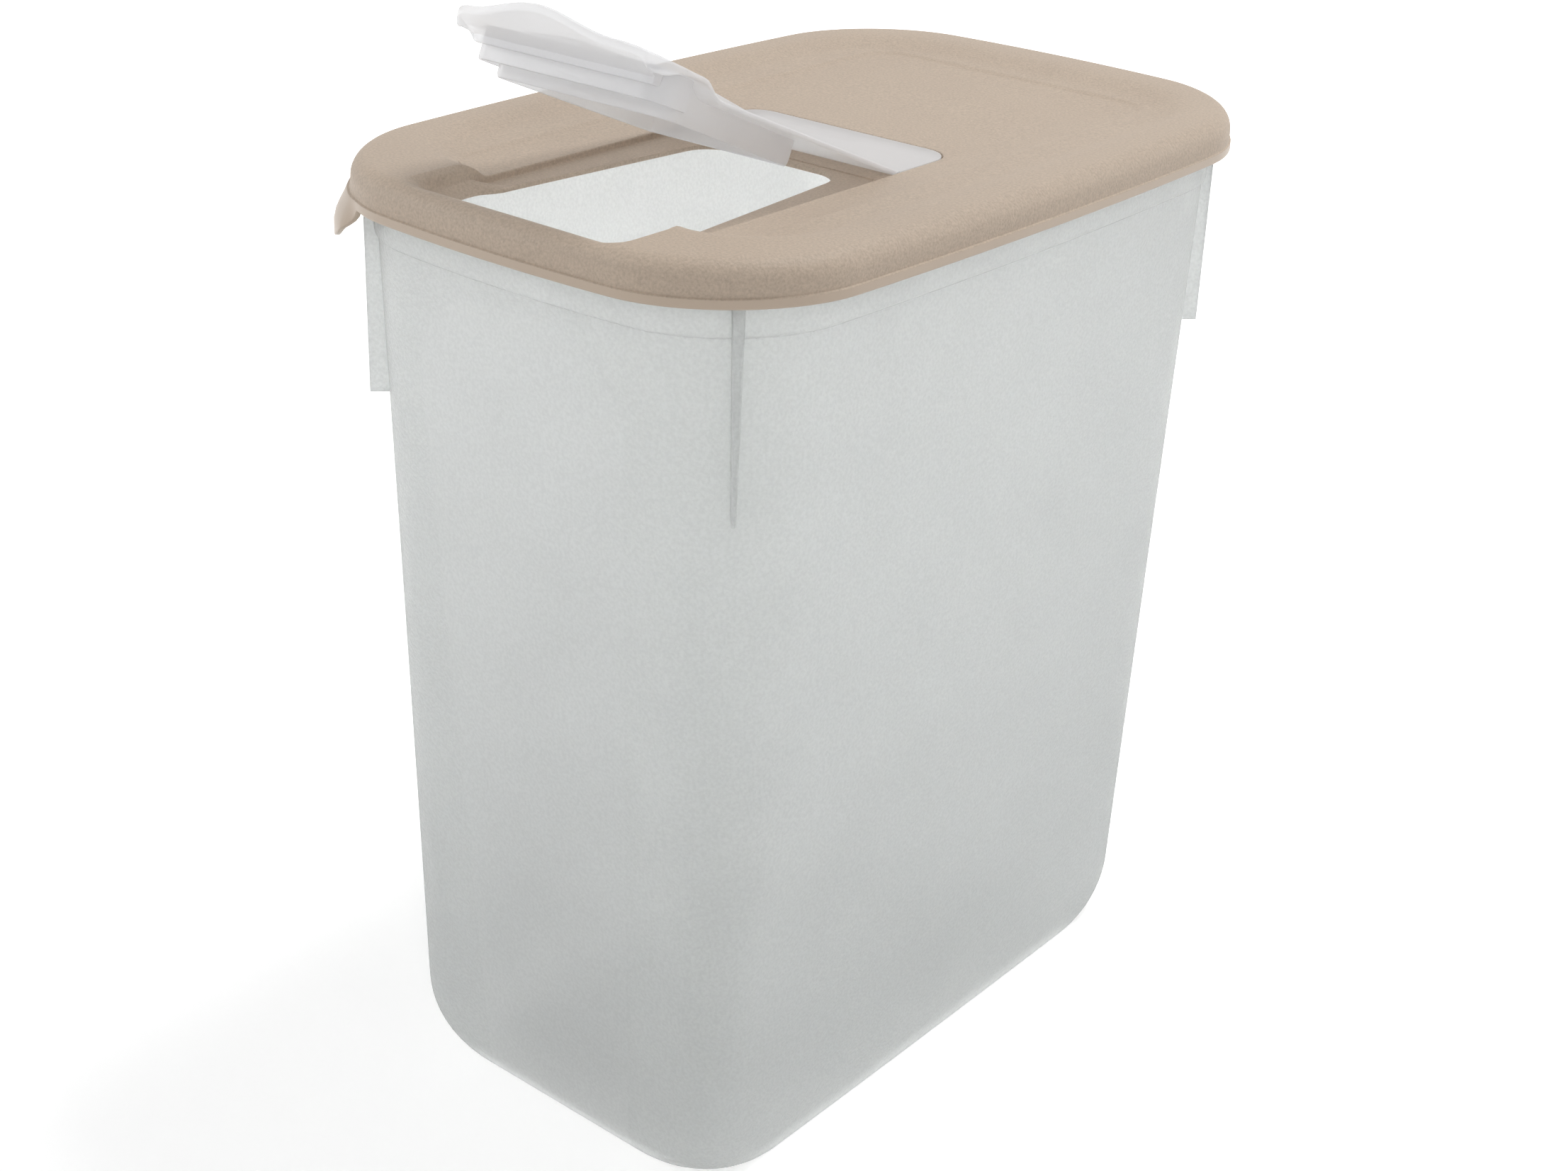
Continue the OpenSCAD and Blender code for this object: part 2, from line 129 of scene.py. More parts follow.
def seen_directly(tree):
    """1 for what the camera sees, straight, in a reflection or through plastic."""
    rays = add_node(tree, "ShaderNodeLightPath", {}, {})
    seen = add_node(tree, "ShaderNodeMath", {"operation": "MAXIMUM"},
                    {0: rays.outputs["Is Camera Ray"], 1: rays.outputs["Is Glossy Ray"]})
    return add_node(tree, "ShaderNodeMath", {"operation": "MAXIMUM"},
                    {0: seen.outputs[0], 1: rays.outputs["Is Transmission Ray"]}).outputs[0]


level = add_node(world.node_tree, "ShaderNodeMapRange", {},
                 {"Value": seen_directly(world.node_tree), "To Min": WORLD_LEVEL, "To Max": 1.0})
sky = add_node(world.node_tree, "ShaderNodeBackground", {},
               {"Color": linear("#FFFFFF"), "Strength": level.outputs["Result"]})
add_node(world.node_tree, "ShaderNodeOutputWorld", {}, {"Surface": sky.outputs[0]})

FLOOR_HALF_M = 9
GLOW_START_M, GLOW_FULL_M, NEAR_GLOW = 0.3, 1.5, 0.4
floor_mesh = bpy.data.meshes.new("studio_floor")
floor_mesh.from_pydata([(x * FLOOR_HALF_M, y * FLOOR_HALF_M, 0)
                        for x, y in ((-1, -1), (1, -1), (1, 1), (-1, 1))], [], [(0, 1, 2, 3)])
floor = bpy.data.objects.new("studio_floor", floor_mesh)
scene.collection.objects.link(floor)
floor_paint = bpy.data.materials.new("matt_white_floor")
floor_paint.use_nodes = True
tree = floor_paint.node_tree
paint = tree.nodes["Principled BSDF"]
paint.inputs["Base Color"].default_value = linear("#F6F6F6")
paint.inputs["Roughness"].default_value = 0.9
paint.inputs["Specular IOR Level"].default_value = 0.0
place = add_node(tree, "ShaderNodeTexCoord", {}, {}).outputs["Object"]
distance = add_node(tree, "ShaderNodeVectorMath", {"operation": "LENGTH"}, {0: place})
lift = add_node(tree, "ShaderNodeMapRange", {"interpolation_type": "SMOOTHSTEP"},
                {"Value": distance.outputs["Value"], "From Min": GLOW_START_M,
                 "From Max": GLOW_FULL_M, "To Min": NEAR_GLOW, "To Max": 1.0})
glow = add_node(tree, "ShaderNodeMath", {"operation": "MULTIPLY"},
                {0: lift.outputs["Result"], 1: seen_directly(tree)})
paint.inputs["Emission Color"].default_value = linear("#FFFFFF")
tree.links.new(glow.outputs[0], paint.inputs["Emission Strength"])
floor_mesh.materials.append(floor_paint)


LAMP_TARGET = Vector((0, 0, 0.25))  # the middle of the bin


def lamp(name, place, size, power):
    """A square soft box of a size in metres, at a place in metres, turned to the bin."""
    light = bpy.data.lights.new(name, "AREA")
    light.size, light.energy = size, power
    holder = bpy.data.objects.new(name, light)
    scene.collection.objects.link(holder)
    place = Vector(place)
    aim = (place - LAMP_TARGET).to_track_quat("Z", "Y").to_matrix().to_4x4()
    aim.translation = place
    holder.matrix_world = aim
    print(name, "at", tuple(place), "with", power, "W")


lamp("top_box", (0.3, 0.7, 2.3), 0.6, 19)
lamp("left_box", (-1.9, -1.2, 1.1), 1.2, 15)
lamp("right_box", (1.3, 1.8, 1.2), 1.0, 10)
lamp("front_fill", (1.2, -1.4, 1.3), 0.6, 7)

# %% [markdown]
# ## Frosted tub plastic
# The tub is natural polypropylene, about 2 mm thick. The mould was spark eroded, which
# leaves a fine frost, and the plastic itself is milky. Light goes through it but shapes
# don't, so the shader is a rough transmission with a milky body colour. An alpha a little
# under 1 lets some light straight through, which keeps the inside of the bin bright. More
# light gets in near the open rim, so the colour is made a little lighter with height.
# The pouring end has a sight window: there the mould was smoother, so its roughness and
# frost are lower. Its outline is worked out in the shader from object coordinates, as a
# box with round corners that widens upwards with the wall.

# %% Natural polypropylene, spark-eroded frost
PP_IOR = 1.49
FROST_GRAIN_MM = 1.4  # about the spacing of the frost that shows in the photograph
FROST_DEPTH_MM = 0.6
WALL_FROST, WINDOW_FROST = 0.7, 0.1  # strength of the bumps
WALL_ROUGH, WINDOW_ROUGH = 0.62, 0.42
LOW_LIGHT, RIM_LIGHT = 0.98, 1.07  # share of the colour near the base and at the rim
LIGHT_LOW_Z, LIGHT_RIM_Z = 50, 400
CLOUDS_PER_M = 28.0  # faint clouds of some 35 mm, where the melt flowed
WINDOW_TOP_MM, WINDOW_CORNER_MM, WINDOW_EDGE_MM = 379, 40, 0.7
WINDOW_LOW_Z, WINDOW_LOW_HALF = 30, 43.4  # a height in mm and the half width there
WINDOW_HIGH_Z, WINDOW_HIGH_HALF = 344, 54
END_FACE_Y = -120  # the pouring end's face lies beyond this y, in mm
TUB_TRANSMISSION, TUB_ALPHA = 0.7, 0.82


def window_mask(tree, place):
    """1 inside the sight window of the pouring end, 0 elsewhere, with a soft edge."""
    axes = add_node(tree, "ShaderNodeSeparateXYZ", {}, {0: place})
    half_w = add_node(tree, "ShaderNodeMapRange", {"clamp": False},
                      {"Value": axes.outputs["Z"], "From Min": WINDOW_LOW_Z * MM,
                       "From Max": WINDOW_HIGH_Z * MM, "To Min": WINDOW_LOW_HALF * MM,
                       "To Max": WINDOW_HIGH_HALF * MM})
    across = add_node(tree, "ShaderNodeMath", {"operation": "ABSOLUTE"}, {0: axes.outputs["X"]})
    radius, soft = WINDOW_CORNER_MM * MM, WINDOW_EDGE_MM * MM
    start = add_node(tree, "ShaderNodeMath", {"operation": "SUBTRACT"},
                     {0: half_w.outputs["Result"], 1: radius})
    dx = add_node(tree, "ShaderNodeMath", {"operation": "SUBTRACT"},
                  {0: across.outputs[0], 1: start.outputs[0]})
    dz = add_node(tree, "ShaderNodeMath", {"operation": "SUBTRACT"},
                  {0: axes.outputs["Z"], 1: WINDOW_TOP_MM * MM - radius})
    dx_out = add_node(tree, "ShaderNodeMath", {"operation": "MAXIMUM"},
                      {0: dx.outputs[0], 1: 0.0})
    dz_out = add_node(tree, "ShaderNodeMath", {"operation": "MAXIMUM"},
                      {0: dz.outputs[0], 1: 0.0})
    both = add_node(tree, "ShaderNodeCombineXYZ", {},
                    {0: dx_out.outputs[0], 1: dz_out.outputs[0]})
    away = add_node(tree, "ShaderNodeVectorMath", {"operation": "LENGTH"}, {0: both.outputs[0]})
    inside = add_node(tree, "ShaderNodeMapRange", {"interpolation_type": "SMOOTHSTEP"},
                      {"Value": away.outputs["Value"], "From Min": radius - soft,
                       "From Max": radius + soft, "To Min": 1.0, "To Max": 0.0})
    front = add_node(tree, "ShaderNodeMath", {"operation": "LESS_THAN"},
                     {0: axes.outputs["Y"], 1: END_FACE_Y * MM})
    return add_node(tree, "ShaderNodeMath", {"operation": "MULTIPLY"},
                    {0: inside.outputs["Result"], 1: front.outputs[0]}).outputs[0]


frosted = bpy.data.materials.new("frosted_polypropylene")
frosted.use_nodes = True
tree = frosted.node_tree
shader = tree.nodes["Principled BSDF"]
place = add_node(tree, "ShaderNodeTexCoord", {}, {}).outputs["Object"]
window = window_mask(tree, place)
frost = add_node(tree, "ShaderNodeTexNoise", {},
                 {"Vector": place, "Scale": 1 / (FROST_GRAIN_MM * MM), "Detail": 2.0})
clouds = add_node(tree, "ShaderNodeTexNoise", {},
                  {"Vector": place, "Scale": CLOUDS_PER_M, "Detail": 3.0})
milk = add_node(tree, "ShaderNodeMix", {"data_type": "RGBA"},
                {"Factor": clouds.outputs["Fac"], "A": linear("#E3E5E4"), "B": linear("#ECEEED")})
frost_depth = add_node(tree, "ShaderNodeMapRange", {},
                       {"Value": window, "To Min": WALL_FROST, "To Max": WINDOW_FROST})
# Painted shade and highlight: the noise that raises the frost also paints its pits a little
# darker and its tops lighter.
frost_shade_and_highlight = add_node(tree, "ShaderNodeMapRange", {},
                   {"Value": frost.outputs["Fac"], "From Min": 0.35, "From Max": 0.65,
                    "To Min": 0.93, "To Max": 1.04})
height = add_node(tree, "ShaderNodeSeparateXYZ", {}, {0: place}).outputs["Z"]
rim_light = add_node(tree, "ShaderNodeMapRange", {},
                     {"Value": height, "From Min": LIGHT_LOW_Z * MM,
                      "From Max": LIGHT_RIM_Z * MM, "To Min": LOW_LIGHT, "To Max": RIM_LIGHT})
light_share = add_node(tree, "ShaderNodeMath", {"operation": "MULTIPLY"},
                       {0: frost_shade_and_highlight.outputs["Result"], 1: rim_light.outputs["Result"]})
milk_with_painted_light = add_node(tree, "ShaderNodeVectorMath", {"operation": "SCALE"},
                        {0: milk.outputs["Result"], "Scale": light_share.outputs[0]})
frost_bump = add_node(tree, "ShaderNodeBump", {},
                      {"Height": frost.outputs["Fac"], "Strength": frost_depth.outputs["Result"],
                       "Distance": FROST_DEPTH_MM * MM})
wall_rough = add_node(tree, "ShaderNodeMapRange", {},
                      {"Value": window, "To Min": WALL_ROUGH, "To Max": WINDOW_ROUGH})
tree.links.new(milk_with_painted_light.outputs["Vector"], shader.inputs["Base Color"])
tree.links.new(wall_rough.outputs["Result"], shader.inputs["Roughness"])
tree.links.new(frost_bump.outputs["Normal"], shader.inputs["Normal"])
shader.inputs["IOR"].default_value = PP_IOR
shader.inputs["Transmission Weight"].default_value = TUB_TRANSMISSION
shader.inputs["Alpha"].default_value = TUB_ALPHA
print("frosted tub material:", len(tree.nodes), "nodes")

# %% The same plastic for the corner fins
# They are up to 5 mm thick, so less light gets through there.
FIN_TRANSMISSION, FIN_ALPHA = 0.45, 0.93
thick_frosted = frosted.copy()
thick_frosted.name = "frosted_polypropylene_thick"
shader = thick_frosted.node_tree.nodes["Principled BSDF"]
shader.inputs["Transmission Weight"].default_value = FIN_TRANSMISSION
shader.inputs["Alpha"].default_value = FIN_ALPHA
print("fin material:", thick_frosted.name)

# %% [markdown]
# ## Beige lid plastic
# The lid is the same polypropylene with a beige colour batch, which makes it opaque. Its
# mould has a coarser spark texture, seen as an orange-peel sparkle on the crest and on the
# outer face. The band along the lower edge of the lip is polished, so it gets a material
# of its own with the same colours and no grain.

# %% Beige polypropylene, spark-eroded and polished
GRAIN_MM = 1.1  # photographed spacing of the pits
GRAIN_DEPTH_MM = 0.5
FLOWS_PER_M = 22.0  # slow changes of the colour, some 45 mm wide
PIT_SHADE, RIDGE_HIGHLIGHT = 0.3, 0.12  # painted shade: how much darker a pit is than the body; painted highlight: how much lighter a ridge is
ROUGH_SPREAD = 0.05


def beige_plastic(name, grain_depth, roughness):
    """Opaque beige polypropylene; grain_depth is the strength of the pitted texture and of its
    painted shade and highlight.
    """
    material = bpy.data.materials.new(name)
    material.use_nodes = True
    tree = material.node_tree
    shader = tree.nodes["Principled BSDF"]
    place = add_node(tree, "ShaderNodeTexCoord", {}, {}).outputs["Object"]
    pits = add_node(tree, "ShaderNodeTexNoise", {},
                    {"Vector": place, "Scale": 1 / (GRAIN_MM * MM), "Detail": 3.0,
                     "Roughness": 0.6})
    flow = add_node(tree, "ShaderNodeTexNoise", {},
                    {"Vector": place, "Scale": FLOWS_PER_M, "Detail": 2.0})
    body = add_node(tree, "ShaderNodeMix", {"data_type": "RGBA"},
                    {"Factor": flow.outputs["Fac"], "A": linear("#BAA896"),
                     "B": linear("#C2B19F")})
    # Painted shade and highlight: the noise that pits the surface paints the pits darker and the
    # ridges lighter.
    pit_shade_ridge_highlight = add_node(tree, "ShaderNodeMapRange", {},
                      {"Value": pits.outputs["Fac"], "From Min": 0.3, "From Max": 0.7,
                       "To Min": 1.0 - PIT_SHADE * grain_depth,
                       "To Max": 1.0 + RIDGE_HIGHLIGHT * grain_depth})
    shaded = add_node(tree, "ShaderNodeVectorMath", {"operation": "SCALE"},
                      {0: body.outputs["Result"], "Scale": pit_shade_ridge_highlight.outputs["Result"]})
    bump = add_node(tree, "ShaderNodeBump", {},
                    {"Height": pits.outputs["Fac"], "Strength": grain_depth,
                     "Distance": GRAIN_DEPTH_MM * MM})
    rough = add_node(tree, "ShaderNodeMapRange", {},
                     {"Value": flow.outputs["Fac"], "To Min": roughness - ROUGH_SPREAD,
                      "To Max": roughness + ROUGH_SPREAD})
    tree.links.new(shaded.outputs["Vector"], shader.inputs["Base Color"])
    tree.links.new(rough.outputs["Result"], shader.inputs["Roughness"])
    tree.links.new(bump.outputs["Normal"], shader.inputs["Normal"])
    shader.inputs["IOR"].default_value = PP_IOR
    return material


spark_beige = beige_plastic("spark_textured_beige_polypropylene", 0.6, 0.55)
polished_beige = beige_plastic("polished_beige_polypropylene", 0.04, 0.38)
print("lid materials:", spark_beige.name, "and", polished_beige.name)

# %% [markdown]
# ## Milky flap plastic
# The flap bends thousands of times, so it is a softer polypropylene without a colour batch.
# It is satin rather than frosted, with a faint lavender grey, and its walls show fine drag
# marks along the short side, where the mould was milled. A stretched noise makes those
# marks. The beige lid shows faintly through it, so its alpha is lower than the tub's.

# %% Natural polypropylene, satin
MARKS_PER_M = (40, 700, 700)  # marks along X, about 1.4 mm apart
MARK_DEPTH_MM = 0.3
FLAP_CLOUDS_PER_M = 30.0
FLAP_TRANSMISSION, FLAP_ALPHA = 0.3, 0.6
flap_plastic = bpy.data.materials.new("satin_milky_polypropylene")
flap_plastic.use_nodes = True
tree = flap_plastic.node_tree
shader = tree.nodes["Principled BSDF"]
place = add_node(tree, "ShaderNodeTexCoord", {}, {}).outputs["Object"]
along_x = add_node(tree, "ShaderNodeMapping", {}, {"Vector": place, "Scale": MARKS_PER_M})
marks = add_node(tree, "ShaderNodeTexNoise", {},
                 {"Vector": along_x.outputs[0], "Scale": 1.0, "Detail": 2.0})
clouds = add_node(tree, "ShaderNodeTexNoise", {},
                  {"Vector": place, "Scale": FLAP_CLOUDS_PER_M, "Detail": 2.0})
milk = add_node(tree, "ShaderNodeMix", {"data_type": "RGBA"},
                {"Factor": clouds.outputs["Fac"], "A": linear("#F4F4F6"), "B": linear("#FAFAFB")})
satin = add_node(tree, "ShaderNodeMapRange", {},
                 {"Value": marks.outputs["Fac"], "To Min": 0.3, "To Max": 0.5})
bump = add_node(tree, "ShaderNodeBump", {},
                {"Height": marks.outputs["Fac"], "Strength": 0.1,
                 "Distance": MARK_DEPTH_MM * MM})
tree.links.new(milk.outputs["Result"], shader.inputs["Base Color"])
tree.links.new(satin.outputs["Result"], shader.inputs["Roughness"])
tree.links.new(bump.outputs["Normal"], shader.inputs["Normal"])
shader.inputs["IOR"].default_value = PP_IOR
shader.inputs["Transmission Weight"].default_value = FLAP_TRANSMISSION
shader.inputs["Alpha"].default_value = FLAP_ALPHA
print("flap material:", len(tree.nodes), "nodes")

# %% [markdown]
# ## Rings
# Both the tub and the lid are stacks of outlines: rounded rectangles whose sides and ends
# bow outwards a little, which keeps a thin wall stiff. A ring here is the half width, half
# length, corner radius, side bow, end bow, centre y and height, in millimetres. Skins are
# lofted between rings with plain mesh code, because a modifier would lose the names of
# these sizes.

# %% Ring and loft helpers
SIDE_STEPS, CORNER_STEPS = 12, 20
MOST_OF_SIDE = 0.45  # a rounding takes no more of a side, so two of them never meet
MERGE_M = 2e-5  # points closer than this become one


def outline(ring):
    """Plan outline of a ring as (x, y) points, anticlockwise from the +X side."""
    half_w, half_l, r, side_bow, end_bow, centre_y = ring[:6]
    a, b = half_w - side_bow, half_l - end_bow
    turn = np.linspace(0, math.pi / 2, CORNER_STEPS + 1)
    part = np.array(
        [(a, (b - r) * i / SIDE_STEPS) for i in range(SIDE_STEPS)]
        + [(a - r + r * math.cos(t), b - r + r * math.sin(t)) for t in turn]
        + [((a - r) * (1 - i / SIDE_STEPS), b) for i in range(1, SIDE_STEPS + 1)])
    x, y = part.T
    quarter = np.stack([x + side_bow * (1 - (y / b) ** 2) * x / a,
                        y + end_bow * (1 - (x / a) ** 2) * y / b], axis=1)
    whole = np.concatenate([quarter, (quarter * (-1, 1))[-2::-1], (quarter * (-1, -1))[1:],
                            (quarter * (1, -1))[-2:0:-1]])
    return whole + (0, centre_y)


def inset(ring, d, z):
    """The same ring drawn in by d and put at height z."""
    return np.array([ring[0] - d, ring[1] - d, ring[2] - d, *ring[3:6], z])


def soften(path, radii, steps=2, closed=False):
    """Round the corners of a path: each corner becomes a small curve of steps + 1 points."""
    path = np.asarray(path, dtype=float)
    n, out = len(path), []
    for i in range(n):
        if not closed and i in (0, n - 1) or radii[i] == 0:
            out.append(path[i])
            continue
        before, here, after = path[i - 1], path[i], path[(i + 1) % n]
        gap1, gap2 = np.linalg.norm(before - here), np.linalg.norm(after - here)
        t1, t2 = min(radii[i], MOST_OF_SIDE * gap1), min(radii[i], MOST_OF_SIDE * gap2)
        start = here + (before - here) * (t1 / gap1 if gap1 > 1e-9 else 0)
        end = here + (after - here) * (t2 / gap2 if gap2 > 1e-9 else 0)
        for u in np.linspace(0, 1, steps + 1):
            out.append((1 - u) ** 2 * start + 2 * u * (1 - u) * here + u * u * end)
    return np.array(out)


def loft(bm, sections, looped=False, capped=True, finishes=None):
    """Skin a stack of closed sections of (x, y, z) in mm, and return its rows of vertices."""
    rows = [[bm.verts.new(Vector(p) * MM) for p in section] for section in sections]
    n, count = len(rows[0]), len(rows)
    for i in range(count if looped else count - 1):
        low, high = rows[i], rows[(i + 1) % count]
        for j in range(n):
            k = (j + 1) % n
            face = bm.faces.new((low[j], low[k], high[k], high[j]))
            face.material_index = finishes[i] if finishes else 0
    if capped and not looped:
        bm.faces.new(list(reversed(rows[0])))
        bm.faces.new(rows[-1])
    return rows


def finish_piece(name, bm, materials, crease_deg=35):
    """Merge doubles, turn faces outwards, and make an object at the origin."""
    bmesh.ops.remove_doubles(bm, verts=bm.verts, dist=MERGE_M)
    bmesh.ops.dissolve_degenerate(bm, edges=bm.edges, dist=1e-6)
    bmesh.ops.recalc_face_normals(bm, faces=bm.faces)
    mesh = bpy.data.meshes.new(name)
    bm.to_mesh(mesh)
    bm.free()
    mesh.shade_smooth()
    mesh.set_sharp_from_angle(angle=math.radians(crease_deg))
    for material in materials:
        mesh.materials.append(material)
    piece = bpy.data.objects.new(name, mesh)
    scene.collection.objects.link(piece)
    triangles = sum(len(p.vertices) - 2 for p in mesh.polygons)
    print(name, "has", triangles, "triangles")
    return piece


# %% [markdown]
# ## The tub
# The wall leans outwards so that the moulding leaves its core, and its corners grow
# rounder towards the rim. At the bottom it turns in over 30 mm to a foot ring. Under the
# lid a small step, the bead line, leads to a collar, and a flange at the rim carries the
# lid. All of it is one closed skin that runs up the outside, over the rim and down inside.

# %% Tub sizes and shell
BASE_ROUND_MM, FLOOR_MM, WALL_MM = 30, 2.2, 2.0
NECK_Z, RIM_Z, FLANGE_Z = 388, 414.2, 409.5
WALL_AT_FLOOR = np.array([92.1, 156.4, 15.7, 0.7, 0, 0])  # a ring without its height
WALL_GROWTH = np.array([20.9, 22.5, 31.9, 4.9, 9.1, 0])  # what it gains up to the neck
FOOT_INSET_MM, FOOT_CORNER_MM = 2.5, 30.5  # how far in and how much rounder the foot is
LIP = np.array([123.5, 190, 57.8, 6.4, 9.2, 0, 401.4])  # the lid's outermost ring


def wall(z):
    """The tub's outer ring at height z, between the base rounding and the bead line."""
    share = z / NECK_Z
    return np.append(WALL_AT_FLOOR + WALL_GROWTH * share, z)


def base_ring(turn_deg, d, low):
    """A ring of the base rounding, from 0 degrees at the height low to 90 at the wall."""
    t = math.radians(turn_deg)
    s, z = 1 - math.sin(t), BASE_ROUND_MM * (1 - math.cos(t))
    q = wall(z)
    return np.array([q[0] - FOOT_INSET_MM * s - d, q[1] - FOOT_INSET_MM * s - d,
                     q[2] + FOOT_CORNER_MM * s - d, q[3], q[4], 0,
                     low + z * (BASE_ROUND_MM - low) / BASE_ROUND_MM])


foot = base_ring(0, 0, 0)
turns = range(0, 91, 9)
levels = list(range(60, 381, 20)) + [387.2]
# Each entry is a ring and the rounding of the profile there, in mm.
outside = (
    [(inset(foot, 23, 1.5), 0), (inset(foot, 22, 0), 0.8), (base_ring(0, 0.4, 0), 0.4)]
    + [(base_ring(t, 0, 0), 0) for t in turns if t] + [(wall(z), 0) for z in levels]
    + [(inset(wall(NECK_Z), -1.5, 388.4), 0.4), (inset(wall(FLANGE_Z), -1.5, FLANGE_Z), 0.5),
       (inset(LIP, 3.4, 410.4), 0.4), (inset(LIP, 3, 411), 0.4), (inset(LIP, 3, 413.4), 0.4),
       (inset(LIP, 3.8, RIM_Z), 0.5)])
inside = (
    [(inset(wall(RIM_Z), 0.1, RIM_Z), 0.4), (inset(wall(RIM_Z), 0.7, 413.6), 0.4),
     (inset(wall(NECK_Z), 0.7, NECK_Z), 0.5)]
    + [(inset(wall(z), WALL_MM, z - 1), 0) for z in reversed(levels)]
    + [(base_ring(t, WALL_MM, FLOOR_MM), 0) for t in reversed(turns)]
    + [(inset(foot, 22.2, FLOOR_MM), 0.8), (inset(foot, 23.2, FLOOR_MM + 1.5), 0)])
shell_rings = soften([q for q, r in outside + inside], [r for q, r in outside + inside])

bm = bmesh.new()
loft(bm, [[(x, y, q[6]) for x, y in outline(q)] for q in shell_rings])
tub = finish_piece("tub_shell", bm, [frosted])
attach(tub, "tub")
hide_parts("tub")

# %% [markdown]
# ## Nesting fins
# A thin fin stands on each corner diagonal under the collar, and stops one empty tub from
# wedging into the next. Four copies of one shape at mirrored places are a job for Geometry
# Nodes: a two by two grid gives the corners, and each copy is turned by the signs of its x
# and y, so it always points outwards.

# %% One fin
FIN_LOW_Z, FIN_HIGH_Z = 316.8, 410
FIN_ROOT_MM = 1.2  # how deep its root is set in the wall
FIN_OUT_MM, FIN_TAPER_MM = 8.3, 3.1  # how far its foot stands out, and how much less its top
FIN_HALF_MM, FIN_GAIN_MM = 0.8, 1.65  # half the thickness of its foot, and what its top adds
FIN_ROUND_MM = 0.7


def wall_corner(z):
    """The point of the wall's outline at the middle of its +X +Y corner."""
    return outline(wall(z))[SIDE_STEPS + CORNER_STEPS // 2]


fin_low, fin_high = wall_corner(FIN_LOW_Z), wall_corner(FIN_HIGH_Z)
fin_lean = float((fin_high - fin_low).sum() / math.sqrt(2))
bm = bmesh.new()
fin_sections = []
for share in np.linspace(0, 1, 5):
    root = fin_lean * share - FIN_ROOT_MM
    out = fin_lean * share + FIN_OUT_MM - FIN_TAPER_MM * share
    half = FIN_HALF_MM + FIN_GAIN_MM * share
    section = [(root, -half), (out, -half), (out, half), (root, half)]
    ring = soften(section, [0, FIN_ROUND_MM, FIN_ROUND_MM, 0], steps=3, closed=True)
    fin_sections.append([(x, y, FIN_LOW_Z + (FIN_HIGH_Z - FIN_LOW_Z) * share) for x, y in ring])
loft(bm, fin_sections)
fins = finish_piece("corner_fins", bm, [thick_frosted])
print("a fin leans out by", round(fin_lean, 2), "mm")

# %% Copy it to the four corners with Geometry Nodes
fin_tree = bpy.data.node_groups.new("fins_on_corners", "GeometryNodeTree")
sockets = fin_tree.interface
sockets.new_socket("Fin", in_out="INPUT", socket_type="NodeSocketGeometry")
half_x = sockets.new_socket("Corner X", in_out="INPUT", socket_type="NodeSocketFloat")
half_y = sockets.new_socket("Corner Y", in_out="INPUT", socket_type="NodeSocketFloat")
plastic = sockets.new_socket("Plastic", in_out="INPUT", socket_type="NodeSocketMaterial")
sockets.new_socket("Fins", in_out="OUTPUT", socket_type="NodeSocketGeometry")

given = add_node(fin_tree, "NodeGroupInput", {}, {})
whole_x = add_node(fin_tree, "ShaderNodeMath", {"operation": "MULTIPLY"},
                   {0: given.outputs["Corner X"], 1: 2.0})
whole_y = add_node(fin_tree, "ShaderNodeMath", {"operation": "MULTIPLY"},
                   {0: given.outputs["Corner Y"], 1: 2.0})
corners = add_node(fin_tree, "GeometryNodeMeshGrid", {},
                   {"Size X": whole_x.outputs[0], "Size Y": whole_y.outputs[0],
                    "Vertices X": 2, "Vertices Y": 2})
where = add_node(fin_tree, "GeometryNodeInputPosition", {}, {})
axes = add_node(fin_tree, "ShaderNodeSeparateXYZ", {}, {0: where.outputs[0]})
sign_x = add_node(fin_tree, "ShaderNodeMath", {"operation": "SIGN"}, {0: axes.outputs["X"]})
sign_y = add_node(fin_tree, "ShaderNodeMath", {"operation": "SIGN"}, {0: axes.outputs["Y"]})
angle = add_node(fin_tree, "ShaderNodeMath", {"operation": "ARCTAN2"},
                 {0: sign_y.outputs[0], 1: sign_x.outputs[0]})
turned = add_node(fin_tree, "FunctionNodeAxisAngleToRotation", {},
                  {"Axis": (0, 0, 1), "Angle": angle.outputs[0]})
copies = add_node(fin_tree, "GeometryNodeInstanceOnPoints", {},
                  {"Points": corners.outputs["Mesh"], "Instance": given.outputs["Fin"],
                   "Rotation": turned.outputs[0]})
real = add_node(fin_tree, "GeometryNodeRealizeInstances", {}, {"Geometry": copies.outputs[0]})
painted = add_node(fin_tree, "GeometryNodeSetMaterial", {},
                   {"Geometry": real.outputs[0], "Material": given.outputs["Plastic"]})
add_node(fin_tree, "NodeGroupOutput", {}, {"Fins": painted.outputs[0]})

modifier = fins.modifiers.new("fins_on_corners", "NODES")
modifier.node_group = fin_tree
modifier[half_x.identifier] = float(fin_low[0] * MM)
modifier[half_y.identifier] = float(fin_low[1] * MM)
modifier[plastic.identifier] = thick_frosted


def made_plain(piece):
    """Replace a piece's mesh by what its modifiers make of it, and remove them."""
    bpy.context.view_layer.update()
    evaluated = piece.evaluated_get(bpy.context.evaluated_depsgraph_get())
    mesh = bpy.data.meshes.new_from_object(evaluated)
    piece.modifiers.clear()
    piece.data = mesh
    print(piece.name, "is plain:", len(mesh.vertices), "vertices")


made_plain(fins)
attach(fins, "tub")

# %% [markdown]
# ## The lid, seen along rays
# The lid has a crest, a sunk panel, a recess, a hole and a front pocket, and their outlines
# cross each other near the front. Cutting them with booleans would leave ragged edges. They
# are all seen once, though, by any ray that starts in the pour hole, so the lid is made of
# some four hundred radial profiles: on each ray, the distance to every named outline gives
# a corner of the profile, and the corners are rounded.

# %% Rays and reach
LID_CENTRE = np.array([0.0, -78.0])  # a point in the pour hole
RAY_COUNT = 420
ray_angles = np.arange(RAY_COUNT) * 2 * math.pi / RAY_COUNT
rays_xy = np.stack([np.cos(ray_angles), np.sin(ray_angles)], axis=1)


